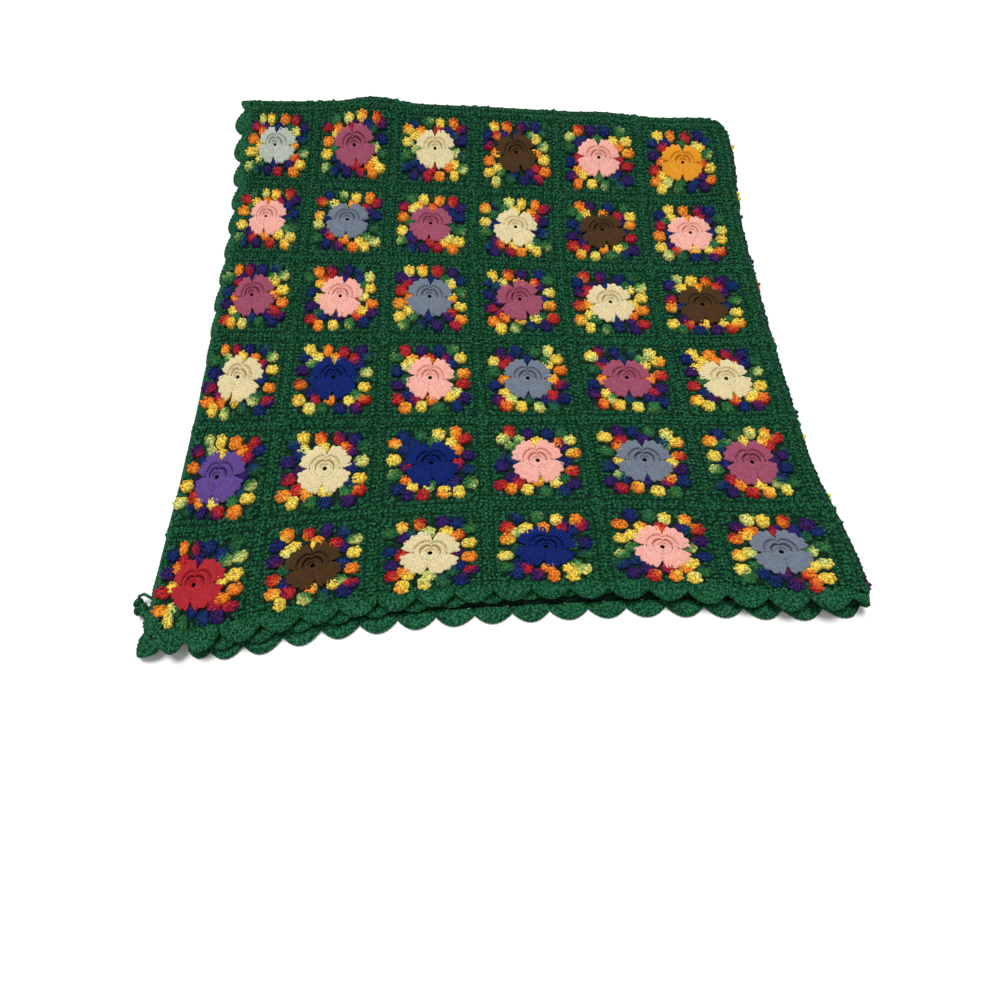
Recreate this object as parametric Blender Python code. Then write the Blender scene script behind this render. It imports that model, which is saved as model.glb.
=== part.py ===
# Crocheted granny square blanket, folded in four.
#
# The open blanket is a square of 12 by 12 joined squares with a scalloped border. It is folded once
# along the back and once along the right, so four layers lie on each other. Every point of it is
# named by its place on the open cloth: "across" runs from the left free edge of the top layer
# (0 at the outermost seam line), and "along" runs from the front free edge of the top layer.

import math

import bmesh
import bpy
from mathutils import Vector
from mathutils.bvhtree import BVHTree

# Driving dimensions, in metres
squarePitch = 0.120         # one square, with its share of the joining round
squaresPerSide = 12
clothThickness = 0.005
pieceGap = 0.0004           # between one piece and the next
normalStep = 0.001          # for the direction in which the thickness goes

# Scalloped border, measured outwards from the outermost seam line
borderRoot = -0.012         # the fans stand in the last coloured round
borderNotch = 0.002
borderTip = 0.014
scallopsPerSquare = 3
scallopShares = (0.0, 0.16, 0.33, 0.5, 0.67, 0.84)     # where the points of one scallop's arc stand
firstNotch = 0.008          # from the corner of the seam lines
cornerFanOut = 0.005        # the middle of the corner's fan lies this far outside them
cornerSteps = 9

# Folds: where the cloth starts to turn, and how much of it the turn takes up
foldedWidth = squaresPerSide / 2 * squarePitch
backTurnStart = foldedWidth + 0.012
backTurnLength = 0.027
underBackTurnShift = -0.023     # the lower pair was folded this much off at its far end
rightTurnStart = foldedWidth + 0.006
rightTurnLength = 0.047
turnSteps = 6
underSteps = 10             # from the turn to the far edge
extraLine = 0.030           # one more line of the cloth on each side of the last squares' middles
clothEnd = squaresPerSide * squarePitch
lowerEnd = 2 * rightTurnStart + rightTurnLength - clothEnd - borderTip  # the lower pair's left edge
rowsOnTop = squaresPerSide // 2

# Height of each layer's middle surface in the flat of the pile, and what the folds add to it
layerHeights = {
    # layer: (flat, added at the back fold, added at the right fold)
    "top": (0.0265, 0.0170, 0.0060),
    "second": (0.0185, 0.0080, 0.0045),
    "third": (0.0105, 0.0045, 0.0010),
    "bottom": (0.0025, 0.0000, 0.0000),
}
backSwellReach = 0.150
backSwellAtRight = 0.85     # the back fold is this much flatter beside the right one
rightSwellReach = 0.110

# Where the top layer's rows lie on the table: (along, x of the left, middle and right columns of
# roses, y of the same three, spread of the cloth beyond the right column, downward turn of the left
# edge in degrees)
rowPlaces = [
    (-0.014, -0.298, 0.004, 0.326, -0.388, -0.338, -0.354, 1.16, 20),
    (0.060, -0.303, 0.003, 0.322, -0.320, -0.284, -0.292, 1.12, 58),
    (0.180, -0.296, 0.001, 0.309, -0.196, -0.178, -0.182, 0.93, 66),
    (0.300, -0.290, -0.004, 0.297, -0.064, -0.065, -0.068, 0.96, 64),
    (0.420, -0.288, -0.008, 0.284, 0.059, 0.055, 0.045, 1.05, 50),
    (0.540, -0.285, -0.009, 0.285, 0.191, 0.179, 0.166, 0.97, 40),
    (0.660, -0.284, -0.004, 0.289, 0.317, 0.312, 0.290, 0.93, 20),
    (0.732, -0.284, -0.004, 0.289, 0.397, 0.394, 0.375, 0.93, 6),
]
leftColumn = 0.060
middleColumn = 0.360
rightColumn = 0.660
leftSqueeze = 0.72          # the outer half of the left column is drawn in

# The left edge falls over the lower layers; the front edge sinks onto them
leftBendStart = 0.018
leftBendRadius = 0.013
secondTurnShare = 0.53      # the second layer falls less steeply than the top one
secondSlip = 0.020          # and its left edge is drawn in by this much,
secondSlipReach = 0.240     # fully from this far in front of the back fold
frontSag = 0.0085
frontSagReach = 0.040
secondFrontSag = 0.0018

# The lower pair lies forward of the upper pair
lowerForwardLeft = 0.016
lowerForwardRight = 0.004
lowerFrontSlip = 0.0105     # and its front edge still further round one place,
lowerSlipPlace = 0.44       # named by its share of the way from the right fold to the left edge
lowerSlipWidth = 0.42
lowerSlipReach = 0.300      # both fade out this far behind the front edge
lowerCornerBack = 0.021     # but its own left corner is drawn back again
lowerCornerReach = 0.080

# Soft puffs of the top layer: (across, along, radius, height)
puffs = [
    (0.205, 0.716, 0.060, 0.0100),
    (0.555, 0.722, 0.050, 0.0030),
    (0.300, 0.440, 0.110, 0.0025),
    (0.560, 0.260, 0.120, 0.0030),
    (0.130, 0.180, 0.090, 0.0020),
    (0.600, 0.500, 0.100, 0.0020),
]
backRightCorner = 0.070     # the corner of the two folds is rounded off over this length
cornerPull = 0.009

# The middle of the folded blanket's outline is the origin
outlineMiddle = (0.0270, 0.0098)

# Raised rose in the middle of a square: its fan petals, inner petals, ring and sunk middle
roseRadius = 0.032
roseRing = 0.0105
roseProfile = [
    # radius, height over the cloth
    (0.0000, 0.0000),
    (roseRadius, 0.0000),
    (roseRadius, 0.0022),
    (0.0185, 0.0046),
    (roseRing, 0.0068),
    (0.0000, 0.0036),
]
rosePoints = 16
petals = 4
petalNotch = 0.34           # how far the notches between the petals reach in
roseGap = 0.0006            # the cloth's own facets rise a little between the rose's points
mergeDistance = 0.00001     # joins the spun profile's ends and its points on the axis
aboveAll = 1.0              # the height from which the roses are lowered onto the cloth

# The roses' colours run in diagonal stripes: (column - row, colour name)
roseStripes = {
    5: "orange", 4: "pink", 3: "brown", 2: "cream", 1: "mauve", 0: "blueGrey",
    -1: "pink", -2: "royalBlue", -3: "cream", -4: "purple", -5: "red",
}
# Squares that break the stripes: (row, column): colour name
roseExceptions = {(1, 1): "lightGrey", (3, 1): "mauve", (6, 2): "brown"}

yarnRoughness = 0.9
yarnColours = {
    # linear red, green, blue
    "green": (0.008, 0.092, 0.036),
    "cream": (0.780, 0.670, 0.385),
    "pink": (0.910, 0.455, 0.375),
    "mauve": (0.360, 0.086, 0.147),
    "blueGrey": (0.180, 0.217, 0.275),
    "lightGrey": (0.500, 0.545, 0.475),
    "royalBlue": (0.004, 0.018, 0.147),
    "purple": (0.127, 0.068, 0.282),
    "red": (0.460, 0.025, 0.035),
    "brown": (0.072, 0.036, 0.012),
    "orange": (0.820, 0.342, 0.023),
}


def mix(low, high, share):
    return low + (high - low) * share


def smoothStep(value):
    value = min(max(value, 0.0), 1.0)
    return value * value * (3.0 - 2.0 * value)


def foldBack(position, start, length):
    """Folds a line of cloth at start. Gives the folded position, the side from 1 before the turn to
    -1 after it, and how far out on the turn it is, from 0 on both flat runs to 1 at its middle."""
    angle = math.pi * min(max((position - start) / length, 0.0), 1.0)
    if position <= start:
        folded = position
    elif position < start + length:
        folded = start
    else:
        folded = 2.0 * start + length - position
    return folded, math.cos(angle), math.sin(angle)


def rowPlace(along):
    """Values of the row table at one distance from the front, smooth from row to row."""
    index = 0
    while index < len(rowPlaces) - 2 and along > rowPlaces[index + 1][0]:
        index += 1
    rows = [rowPlaces[min(max(index + step, 0), len(rowPlaces) - 1)] for step in (-1, 0, 1, 2)]
    span = rows[2][0] - rows[1][0]
    share = (along - rows[1][0]) / span
    values = []
    for column in range(1, len(rowPlaces[0])):
        startSlope = (rows[2][column] - rows[0][column]) / (rows[2][0] - rows[0][0]) * span
        endSlope = (rows[3][column] - rows[1][column]) / (rows[3][0] - rows[1][0]) * span
        rise = rows[2][column] - rows[1][column]
        if share > 1.0:
            values.append(rows[2][column] + endSlope * (share - 1.0))
        elif share < 0.0:
            values.append(rows[1][column] + startSlope * share)
        else:
            values.append(
                rows[1][column]
                + share * (startSlope + share * (3 * rise - 2 * startSlope - endSlope
                                                 + share * (startSlope + endSlope - 2 * rise)))
            )
    return values


def throughColumns(left, middle, right, across):
    """The curve through the values of the three named columns, held level beyond the outer two."""
    share = min(max((across - middleColumn) / (rightColumn - middleColumn), -1.0), 1.0)
    return middle + (right - left) / 2 * share + ((left + right) / 2 - middle) * share * share


def layPlan(across, along):
    """Where a point of the folded pile lies on the table, before its edges fall."""
    leftX, middleX, rightX, leftY, middleY, rightY, spread, turn = rowPlace(along)
    x = throughColumns(leftX, middleX, rightX, across)
    y = throughColumns(leftY, middleY, rightY, across)
    x -= leftSqueeze * max(leftColumn - across, 0.0)
    x += spread * max(across - rightColumn, 0.0)
    cornerDistance = math.hypot(rightTurnStart - across, backTurnStart - along)
    pull = cornerPull * max(1.0 - cornerDistance / backRightCorner, 0.0) ** 2
    return x - pull, y - pull, math.radians(turn)


def layerHeight(layer, across, along):
    flat, backRise, rightRise = layerHeights[layer]
    backShare = smoothStep(1.0 - (backTurnStart - along) / backSwellReach)
    backShare *= mix(1.0, backSwellAtRight, smoothStep(across / rightTurnStart))
    rightShare = smoothStep(1.0 - (rightTurnStart - across) / rightSwellReach)
    height = flat + backRise * backShare + rightRise * rightShare
    frontShare = smoothStep(1.0 - (along + borderTip) / frontSagReach)
    if layer == "top":
        for puffAcross, puffAlong, radius, rise in puffs:
            distance = math.hypot(across - puffAcross, along - puffAlong) / radius
            height += rise * math.exp(-2.0 * distance * distance)
        height -= frontSag * frontShare
    if layer == "second":
        height -= secondFrontSag * frontShare
    return height


def edgeFall(length, turn):
    """Run and drop of an edge that bends down by turn and then goes on straight."""
    bent = min(length / leftBendRadius, turn)
    straight = max(length - leftBendRadius * turn, 0.0)
    run = leftBendRadius * math.sin(bent) + straight * math.cos(turn)
    drop = leftBendRadius * (1.0 - math.cos(bent)) + straight * math.sin(turn)
    return run, drop


def backTurnShift(across):
    """How far the lower pair's turn at the back is off the upper pair's: it lies aslant."""
    underShare = max(across - rightTurnStart - rightTurnLength, 0.0) / (clothEnd - rightTurnStart)
    return underBackTurnShift * underShare


def layCloth(across, along):
    """Where a point of the open cloth lies once the blanket is folded, on its middle surface."""
    foldedAcross, topShare, rightTurn = foldBack(across, rightTurnStart, rightTurnLength)
    turnStart = backTurnStart + backTurnShift(across)
    foldedAlong, outerShare, backTurn = foldBack(along, turnStart, backTurnLength)

    upper = (1.0 + topShare) / 2
    outer = (1.0 + outerShare) / 2
    top = layerHeight("top", foldedAcross, foldedAlong)
    second = layerHeight("second", foldedAcross, foldedAlong)
    third = layerHeight("third", foldedAcross, foldedAlong)
    bottom = layerHeight("bottom", foldedAcross, foldedAlong)
    upperHeight = mix(second, top, outer)
    lowerHeight = mix(third, bottom, outer)
    height = mix(lowerHeight, upperHeight, upper)

    x, y, turn = layPlan(foldedAcross, foldedAlong)
    fromFold = 1.0 - foldedAcross / rightTurnStart
    slipShare = smoothStep((backTurnStart - foldedAlong) / secondSlipReach)
    x += secondSlip * upper * (1.0 - outer) * fromFold * slipShare
    fallLength = leftBendStart - foldedAcross
    if upper > 0.5 and fallLength > 0.0:
        turn *= mix(secondTurnShare, 1.0, outer)
        run, drop = edgeFall(fallLength, turn)
        x += leftSqueeze * fallLength - run
        height -= drop
    x += rightTurn * (upperHeight - lowerHeight) / 2
    y += backTurn * mix(third - bottom, top - second, upper) / 2
    forward = mix(lowerForwardRight, lowerForwardLeft, fromFold)
    nearFront = smoothStep(1.0 - (foldedAlong + borderTip) / lowerSlipReach)
    slip = smoothStep(1.0 - abs(fromFold - lowerSlipPlace) / lowerSlipWidth)
    corner = max(1.0 - (foldedAcross - lowerEnd) / lowerCornerReach, 0.0) ** 2
    forward += (lowerFrontSlip * slip - lowerCornerBack * corner) * nearFront
    y -= (1.0 - upper) * forward
    return Vector((x - outlineMiddle[0], y - outlineMiddle[1], height))


def foldPoint(flat):
    """Moves a point of the open cloth, with its height over the middle surface, onto the folds."""
    acrossWay = layCloth(flat.x + normalStep, flat.y) - layCloth(flat.x - normalStep, flat.y)
    alongWay = layCloth(flat.x, flat.y + normalStep) - layCloth(flat.x, flat.y - normalStep)
    return layCloth(flat.x, flat.y) + acrossWay.cross(alongWay).normalized() * flat.z


def yarnMaterial(colourName):
    material = bpy.data.materials.new(colourName + "Yarn")
    material.use_nodes = True
    shader = material.node_tree.nodes["Principled BSDF"]
    shader.inputs["Base Color"].default_value = (*yarnColours[colourName], 1.0)
    shader.inputs["Roughness"].default_value = yarnRoughness
    shader.inputs["Metallic"].default_value = 0.0
    material.diffuse_color = (*yarnColours[colourName], 1.0)
    return material


def addPiece(name, bm, material, collection):
    mesh = bpy.data.meshes.new(name)
    bm.to_mesh(mesh)
    bm.free()
    mesh.materials.append(material)
    piece = bpy.data.objects.new(name, mesh)
    collection.objects.link(piece)
    return piece


def thickenAndFold(bm):
    """Gives flat open cloth its thickness, half on each side, and folds it."""
    bmesh.ops.translate(bm, verts=bm.verts, vec=(0.0, 0.0, -clothThickness / 2))
    underside = list(bm.faces)
    upper = bmesh.ops.extrude_face_region(bm, geom=underside, use_keep_orig=True)
    upperVerts = [item for item in upper["geom"] if isinstance(item, bmesh.types.BMVert)]
    bmesh.ops.translate(bm, verts=upperVerts, vec=(0.0, 0.0, clothThickness))
    bmesh.ops.recalc_face_normals(bm, faces=bm.faces)
    for vert in bm.verts:
        vert.co = foldPoint(vert.co)


def clothLines(turnStart, turnLength):
    """Lines across the open cloth in one direction: close at the free edge and round the turn."""
    rim = -borderRoot
    halfPitch = squarePitch / 2
    lines = [rim, leftBendStart + rim]
    lines += [halfPitch * step for step in range(1, squaresPerSide)]
    lines += [foldedWidth - halfPitch - extraLine, foldedWidth - halfPitch + extraLine]
    lines += [turnStart + turnLength * step / turnSteps for step in range(turnSteps + 1)]
    underStart = turnStart + turnLength
    underLength = clothEnd - rim - underStart
    lines += [underStart + underLength * step / underSteps for step in range(1, underSteps + 1)]
    return sorted(lines)


def followTurn(across, line):
    """Where a line along the cloth runs at one place across it: aslant with the lower pair's turn."""
    lastMiddle = foldedWidth - squarePitch / 2
    turnEnd = backTurnStart + backTurnLength
    nearShare = (line - lastMiddle) / (backTurnStart - lastMiddle)
    farShare = (clothEnd + borderRoot - line) / (clothEnd + borderRoot - turnEnd)
    return line + backTurnShift(across) * min(max(nearShare, 0.0), max(farShare, 0.0), 1.0)


def makeCloth(acrossLines, alongLines, material, collection):
    bm = bmesh.new()
    acrossSteps = len(acrossLines) - 1
    alongSteps = len(alongLines) - 1
    bmesh.ops.create_grid(bm, x_segments=acrossSteps, y_segments=alongSteps, size=0.5)
    for vert in bm.verts:
        across = acrossLines[round((vert.co.x + 0.5) * acrossSteps)]
        line = alongLines[round((vert.co.y + 0.5) * alongSteps)]
        vert.co = (across, followTurn(across, line), 0.0)
    thickenAndFold(bm)
    return addPiece("blanket", bm, material, collection)


def scallopedSide():
    """One side of the border and the corner fan after it: (along the side, out from the seam line)."""
    count = squaresPerSide * scallopsPerSquare
    width = (clothEnd - 2 * firstNotch) / count
    depth = borderTip - borderNotch
    arcRadius = (width * width / 4 + depth * depth) / (2 * depth)
    side = []
    for scallop in range(count):
        for share in scallopShares:
            fromMiddle = (share - 0.5) * width
            out = borderTip - arcRadius + math.sqrt(arcRadius ** 2 - fromMiddle ** 2)
            side.append((firstNotch + (scallop + share) * width, out))
    inner = firstNotch + cornerFanOut, cornerFanOut - borderNotch
    radius = math.hypot(*inner)
    startAngle = math.pi + math.atan2(inner[1], inner[0])
    sweep = 2 * startAngle - math.pi / 2
    for step in range(cornerSteps):
        angle = startAngle - sweep * step / cornerSteps
        side.append((clothEnd + cornerFanOut + radius * math.cos(angle),
                     cornerFanOut + radius * math.sin(angle)))
    return side


def turnSide(side, point):
    """Places a point of one side on the open cloth: side 0 is in front, 1 right, 2 back, 3 left."""
    position, out = point
    return [
        (position, -out),
        (clothEnd + out, position),
        (clothEnd - position, clothEnd + out),
        (-out, clothEnd - position),
    ][side]


def addLoop(bm, points):
    verts = [bm.verts.new((across, along, 0.0)) for across, along in points]
    return [bm.edges.new((vert, verts[index - 1])) for index, vert in enumerate(verts)]


def makeEdging(acrossLines, alongLines, material, collection):
    rim = -borderRoot - pieceGap
    farRim = clothEnd - rim
    inward = [(across, rim) for across in acrossLines[1:-1]] + [(farRim, rim)]
    inward += [(farRim, followTurn(farRim, line)) for line in alongLines[1:-1]] + [(farRim, farRim)]
    inward += [(across, farRim) for across in reversed(acrossLines[1:-1])] + [(rim, farRim)]
    inward += [(rim, line) for line in reversed(alongLines[1:-1])] + [(rim, rim)]
    outline = scallopedSide()
    outward = [turnSide(side, point) for side in range(4) for point in outline]

    bm = bmesh.new()
    edges = addLoop(bm, inward) + addLoop(bm, outward)
    bmesh.ops.triangle_fill(bm, edges=edges, use_beauty=True)
    thickenAndFold(bm)
    addPiece("edging", bm, material, collection)


def roseColour(row, column):
    return roseExceptions.get((row, column), roseStripes[column - row])


def makeRose(row, column, clothTop, material, collection):
    """A raised four-petalled rose in the middle of one square, resting on the cloth's folds."""
    middleAcross = (column - 0.5) * squarePitch
    middleAlong = (rowsOnTop - row + 0.5) * squarePitch
    bm = bmesh.new()
    profile = [bm.verts.new((radius, 0.0, height)) for radius, height in roseProfile]
    edges = [bm.edges.new(pair) for pair in zip(profile, profile[1:])]
    bmesh.ops.spin(bm, geom=profile + edges, axis=(0, 0, 1), cent=(0, 0, 0), angle=2 * math.pi,
                   steps=rosePoints, use_merge=True)
    bmesh.ops.remove_doubles(bm, verts=bm.verts, dist=mergeDistance)
    bmesh.ops.recalc_face_normals(bm, faces=bm.faces)
    for vert in bm.verts:
        radius = math.hypot(vert.co.x, vert.co.y)
        angle = math.atan2(vert.co.y, vert.co.x)
        fromRing = smoothStep((radius - roseRing) / (roseRadius - roseRing))
        spread = 1.0 - petalNotch * fromRing * max(math.cos(petals * angle), 0.0)
        height = vert.co.z
        place = layCloth(middleAcross + vert.co.x * spread, middleAlong + vert.co.y * spread)
        surface = clothTop.ray_cast(Vector((place.x, place.y, aboveAll)), Vector((0, 0, -1)))[0]
        vert.co = (place.x, place.y, surface.z + roseGap + height)
    addPiece(f"rose_r{row}_c{column}", bm, material, collection)


def main():
    for piece in list(bpy.data.objects):
        bpy.data.objects.remove(piece, do_unlink=True)
    collection = bpy.data.collections.new("granny square blanket")
    bpy.context.scene.collection.children.link(collection)
    yarns = {colourName: yarnMaterial(colourName) for colourName in yarnColours}

    acrossLines = clothLines(rightTurnStart, rightTurnLength)
    alongLines = clothLines(backTurnStart, backTurnLength)
    cloth = makeCloth(acrossLines, alongLines, yarns["green"], collection)
    makeEdging(acrossLines, alongLines, yarns["green"], collection)

    bpy.context.view_layer.update()
    clothTop = BVHTree.FromObject(cloth, bpy.context.evaluated_depsgraph_get())
    for row in range(1, rowsOnTop + 1):
        for column in range(1, rowsOnTop + 1):
            yarn = yarns[roseColour(row, column)]
            makeRose(row, column, clothTop, yarn, collection)


main()
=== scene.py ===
import math
import random

import bmesh
import bpy
import numpy as np
from mathutils import Matrix, Vector


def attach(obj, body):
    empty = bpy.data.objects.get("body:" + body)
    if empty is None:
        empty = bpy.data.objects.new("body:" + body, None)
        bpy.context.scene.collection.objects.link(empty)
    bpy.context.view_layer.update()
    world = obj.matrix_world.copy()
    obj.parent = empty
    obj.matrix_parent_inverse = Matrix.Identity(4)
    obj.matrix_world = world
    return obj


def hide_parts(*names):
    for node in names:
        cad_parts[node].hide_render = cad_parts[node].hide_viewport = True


# A crocheted blanket of joined squares, folded in four. Everything is worked flat, on the open cloth, and
# folded last. A flat point is (across, along, height): across runs from the top layer's left free edge,
# along from its front free edge, and height is measured from the middle of the cloth's thickness.

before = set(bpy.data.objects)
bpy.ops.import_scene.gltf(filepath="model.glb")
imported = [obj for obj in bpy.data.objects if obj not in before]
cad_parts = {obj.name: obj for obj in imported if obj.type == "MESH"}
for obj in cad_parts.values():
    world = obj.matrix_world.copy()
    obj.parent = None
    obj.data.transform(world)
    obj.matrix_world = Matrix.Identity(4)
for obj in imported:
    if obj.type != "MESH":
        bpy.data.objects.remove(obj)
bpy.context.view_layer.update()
rng = random.Random(7)

cloth = {
    "pitch": 0.120,             # one square with its share of the joining round
    "perSide": 12,
    "onTop": 6,
    "thickness": 0.003,         # the ground that the stitches stand on
    "rim": 0.013,               # the ground ends here, and only the border's stitches go on
    "borderTip": 0.014,
    "slopeStep": 0.001,         # how far to each side the folded cloth's slope is measured
}
clothEnd = cloth["perSide"] * cloth["pitch"]
foldedWidth = cloth["onTop"] * cloth["pitch"]

# How the blanket lies: the same folds as the solids'
lie = {
    "backStart": foldedWidth + 0.012, "backLength": 0.027, "backShift": -0.023,
    "rightStart": foldedWidth + 0.006, "rightLength": 0.047,
    "layers": {             # height in the flat, added at the back fold, added at the right fold
        "top": (0.0265, 0.0170, 0.0060),
        "second": (0.0185, 0.0080, 0.0045),
        "third": (0.0105, 0.0045, 0.0010),
        "bottom": (0.0025, 0.0000, 0.0000),
    },
    "backSwellReach": 0.150, "backSwellAtRight": 0.85, "rightSwellReach": 0.110,
    "leftColumn": 0.060, "middleColumn": 0.360, "rightColumn": 0.660, "leftSqueeze": 0.72,
    "bendStart": 0.018, "bendRadius": 0.013, "secondTurnShare": 0.53,
    "secondSlip": 0.020, "secondSlipReach": 0.240,
    "frontSag": 0.0085, "frontSagReach": 0.040, "secondFrontSag": 0.0018,
    # how far the lower pair lies forward of the upper one, and the front corner where it lies back
    "forwardLeft": 0.016, "forwardRight": 0.004,
    "frontSlip": 0.0105, "slipPlace": 0.44, "slipWidth": 0.42, "slipReach": 0.300,
    "cornerBack": 0.021, "cornerReach": 0.080,
    "backRightCorner": 0.070, "cornerPull": 0.009,
    "middle": (0.0270, 0.0098),     # of the outline, in the plan that the rows are measured in
    "lowest": 0.0002,
    "puffs": [              # across, along, radius, height
        (0.205, 0.716, 0.060, 0.0100),
        (0.555, 0.722, 0.050, 0.0030),
        (0.300, 0.440, 0.110, 0.0025),
        (0.560, 0.260, 0.120, 0.0030),
        (0.130, 0.180, 0.090, 0.0020),
        (0.600, 0.500, 0.100, 0.0020),
    ],
}
# along; x of the left, middle and right columns; y of the same; spread beyond the right column;
# downward turn of the left edge in degrees
rowPlaces = np.array([
    (-0.014, -0.298, 0.004, 0.326, -0.388, -0.338, -0.354, 1.16, 20),
    (0.060, -0.303, 0.003, 0.322, -0.320, -0.284, -0.292, 1.12, 58),
    (0.180, -0.296, 0.001, 0.309, -0.196, -0.178, -0.182, 0.93, 66),
    (0.300, -0.290, -0.004, 0.297, -0.064, -0.065, -0.068, 0.96, 64),
    (0.420, -0.288, -0.008, 0.284, 0.059, 0.055, 0.045, 1.05, 50),
    (0.540, -0.285, -0.009, 0.285, 0.191, 0.179, 0.166, 0.97, 40),
    (0.660, -0.284, -0.004, 0.289, 0.317, 0.312, 0.290, 0.93, 20),
    (0.732, -0.284, -0.004, 0.289, 0.397, 0.394, 0.375, 0.93, 6),
])
lowerEnd = 2 * lie["rightStart"] + lie["rightLength"] - clothEnd - cloth["borderTip"]


def mix(low, high, share):
    return low + (high - low) * share


def smoothStep(value):
    value = np.clip(value, 0.0, 1.0)
    return value * value * (3.0 - 2.0 * value)


# Positions past a fold count back again; with them, the cosine and sine of the turn there
def foldBack(position, start, length):
    angle = np.pi * np.clip((position - start) / length, 0.0, 1.0)
    beyond = np.where(position < start + length, start, 2.0 * start + length - position)
    return np.where(position <= start, position, beyond), np.cos(angle), np.sin(angle)


# The rows' places at any distance along, on a smooth curve through them
def rowPlace(along):
    last = len(rowPlaces) - 1
    index = np.clip(np.searchsorted(rowPlaces[:, 0], along) - 1, 0, last - 1)
    before, first, second, after = (rowPlaces[np.clip(index + step, 0, last)] for step in (-1, 0, 1, 2))
    span = second[:, :1] - first[:, :1]
    share = (along[:, None] - first[:, :1]) / span
    startSlope = (second - before) / (second[:, :1] - before[:, :1]) * span
    endSlope = (after - first) / (after[:, :1] - first[:, :1]) * span
    rise = second - first
    curve = first + share * (startSlope + share * (3 * rise - 2 * startSlope - endSlope
                                                   + share * (startSlope + endSlope - 2 * rise)))
    curve = np.where(share > 1.0, second + endSlope * (share - 1.0), curve)
    return np.where(share < 0.0, first + startSlope * share, curve)[:, 1:].T


def throughColumns(left, middle, right, across):
    share = (across - lie["middleColumn"]) / (lie["rightColumn"] - lie["middleColumn"])
    share = np.clip(share, -1.0, 1.0)
    return middle + (right - left) / 2 * share + ((left + right) / 2 - middle) * share * share


# Where a point of the folded pile lies in plan, and how far the left edge turns down beside it
def layPlan(across, along):
    leftX, middleX, rightX, leftY, middleY, rightY, spread, turn = rowPlace(along)
    x = throughColumns(leftX, middleX, rightX, across)
    y = throughColumns(leftY, middleY, rightY, across)
    x = x - lie["leftSqueeze"] * np.maximum(lie["leftColumn"] - across, 0.0)
    x = x + spread * np.maximum(across - lie["rightColumn"], 0.0)
    cornerDistance = np.hypot(lie["rightStart"] - across, lie["backStart"] - along)
    pull = lie["cornerPull"] * np.maximum(1.0 - cornerDistance / lie["backRightCorner"], 0.0) ** 2
    return x - pull, y - pull, np.radians(turn)


def layerHeight(layer, across, along):
    flat, backRise, rightRise = lie["layers"][layer]
    backShare = smoothStep(1.0 - (lie["backStart"] - along) / lie["backSwellReach"])
    backShare *= mix(1.0, lie["backSwellAtRight"], smoothStep(across / lie["rightStart"]))
    rightShare = smoothStep(1.0 - (lie["rightStart"] - across) / lie["rightSwellReach"])
    height = flat + backRise * backShare + rightRise * rightShare
    frontShare = smoothStep(1.0 - (along + cloth["borderTip"]) / lie["frontSagReach"])
    if layer == "top":
        for puffAcross, puffAlong, radius, rise in lie["puffs"]:
            distance = np.hypot(across - puffAcross, along - puffAlong) / radius
            height = height + rise * np.exp(-2.0 * distance * distance)
        height = height - lie["frontSag"] * frontShare
    if layer == "second":
        height = height - lie["secondFrontSag"] * frontShare
    return height


def layCloth(across, along):
    foldedAcross, topShare, rightTurn = foldBack(across, lie["rightStart"], lie["rightLength"])
    under = np.maximum(across - lie["rightStart"] - lie["rightLength"], 0.0)
    backStart = lie["backStart"] + lie["backShift"] * under / (clothEnd - lie["rightStart"])
    foldedAlong, outerShare, backTurn = foldBack(along, backStart, lie["backLength"])
    upper = (1.0 + topShare) / 2
    outer = (1.0 + outerShare) / 2
    top, second, third, bottom = (layerHeight(name, foldedAcross, foldedAlong) for name in lie["layers"])
    upperHeight = mix(second, top, outer)
    lowerHeight = mix(third, bottom, outer)
    height = mix(lowerHeight, upperHeight, upper)

    x, y, turn = layPlan(foldedAcross, foldedAlong)
    fromFold = 1.0 - foldedAcross / lie["rightStart"]
    slipShare = smoothStep((lie["backStart"] - foldedAlong) / lie["secondSlipReach"])
    x = x + lie["secondSlip"] * upper * (1.0 - outer) * fromFold * slipShare

    # the upper pair's left edge bends down over the lower pair
    fall = np.where(upper > 0.5, np.maximum(lie["bendStart"] - foldedAcross, 0.0), 0.0)
    turn = turn * mix(lie["secondTurnShare"], 1.0, outer)
    bent = np.minimum(fall / lie["bendRadius"], turn)
    straight = np.maximum(fall - lie["bendRadius"] * turn, 0.0)
    x = x + lie["leftSqueeze"] * fall - lie["bendRadius"] * np.sin(bent) - straight * np.cos(turn)
    height = height - lie["bendRadius"] * (1.0 - np.cos(bent)) - straight * np.sin(turn)

    x = x + rightTurn * (upperHeight - lowerHeight) / 2
    y = y + backTurn * mix(third - bottom, top - second, upper) / 2
    forward = mix(lie["forwardRight"], lie["forwardLeft"], fromFold)
    nearFront = smoothStep(1.0 - (foldedAlong + cloth["borderTip"]) / lie["slipReach"])
    slip = smoothStep(1.0 - np.abs(fromFold - lie["slipPlace"]) / lie["slipWidth"])
    corner = np.maximum(1.0 - (foldedAcross - lowerEnd) / lie["cornerReach"], 0.0) ** 2
    forward = forward + (lie["frontSlip"] * slip - lie["cornerBack"] * corner) * nearFront
    y = y - (1.0 - upper) * forward
    return np.stack((x - lie["middle"][0], y - lie["middle"][1], height), axis=1)


# Flat points to their places on the folded blanket, none of them below the surface that it lies on
def foldPoints(flat):
    across, along, height = flat.T
    step = cloth["slopeStep"]
    acrossWay = layCloth(across + step, along) - layCloth(across - step, along)
    alongWay = layCloth(across, along + step) - layCloth(across, along - step)
    normal = np.cross(acrossWay, alongWay)
    normal /= np.linalg.norm(normal, axis=1)[:, None]
    folded = layCloth(across, along) + normal * height[:, None]
    folded[:, 2] = np.maximum(folded[:, 2], lie["lowest"])
    return folded


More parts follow.
